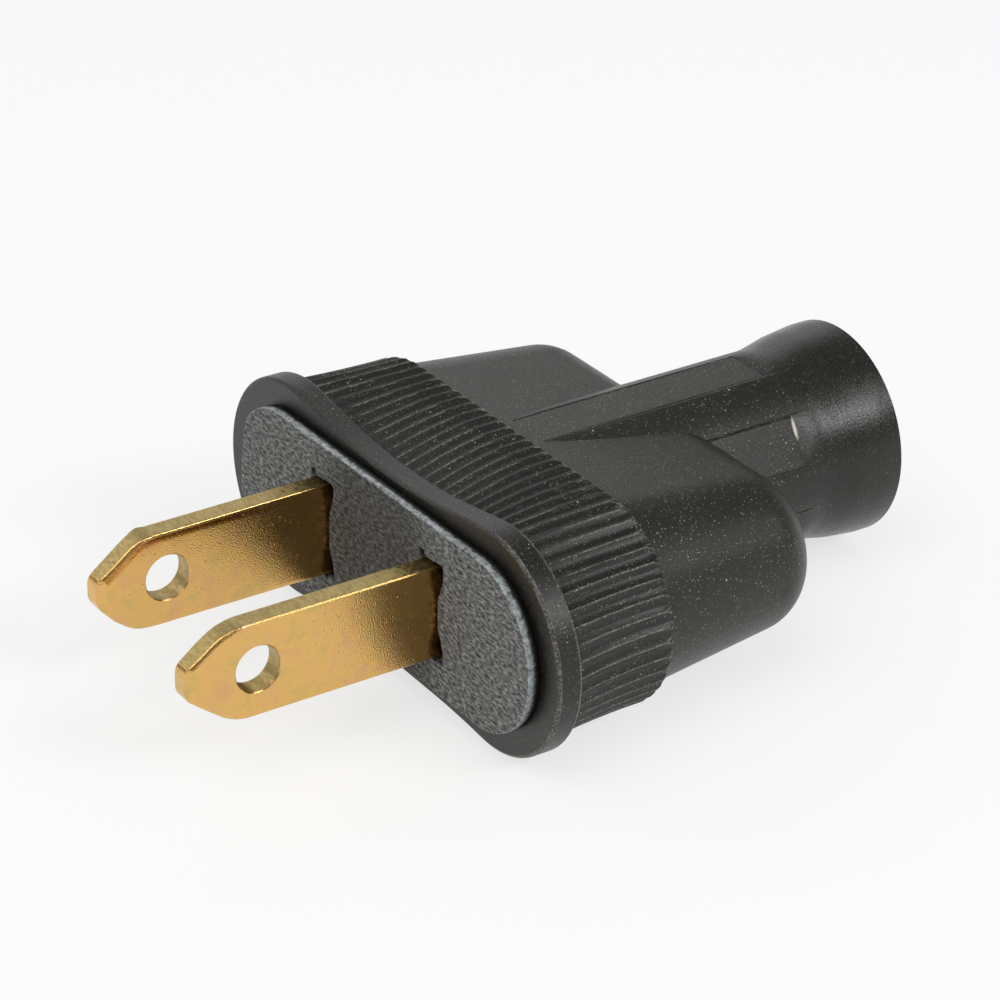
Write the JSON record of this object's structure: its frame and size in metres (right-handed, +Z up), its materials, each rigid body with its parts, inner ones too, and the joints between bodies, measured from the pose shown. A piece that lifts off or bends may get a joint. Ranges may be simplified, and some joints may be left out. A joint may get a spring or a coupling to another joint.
{
  "type": "electrical plug",
  "caption": "Rewirable rubber plug with flat parallel blades, a waisted flange and ribbed grip band, a flared cord entry and a fibre disc that slides off its wiring chamber.",
  "frame": {"origin": "on the mating face, the front of the fibre disc, midway between the blades", "axes": "-Y along the blades towards their tips, +Y towards the cord end, +X towards the longer standing blade, +Z up across the thin way"},
  "size_m": [0.0382, 0.0538, 0.0148],
  "materials": {
    "rubber": "matte",
    "brass": "satin",
    "screw_brass": "satin",
    "fibre": "matte"
  },
  "bodies": {
    "plug": {"body": "rubber", "blade_left": "brass", "blade_right": "brass", "terminal_screw_left": "screw_brass", "terminal_screw_right": "screw_brass"},
    "disc": {"face_disc": "fibre"}
  },
  "joints": [
    {"name": "disc_slide", "type": "slide", "parent": "plug", "child": "disc", "axis": [0, -1, 0], "range_m": [0, 0.016]}
  ]
}
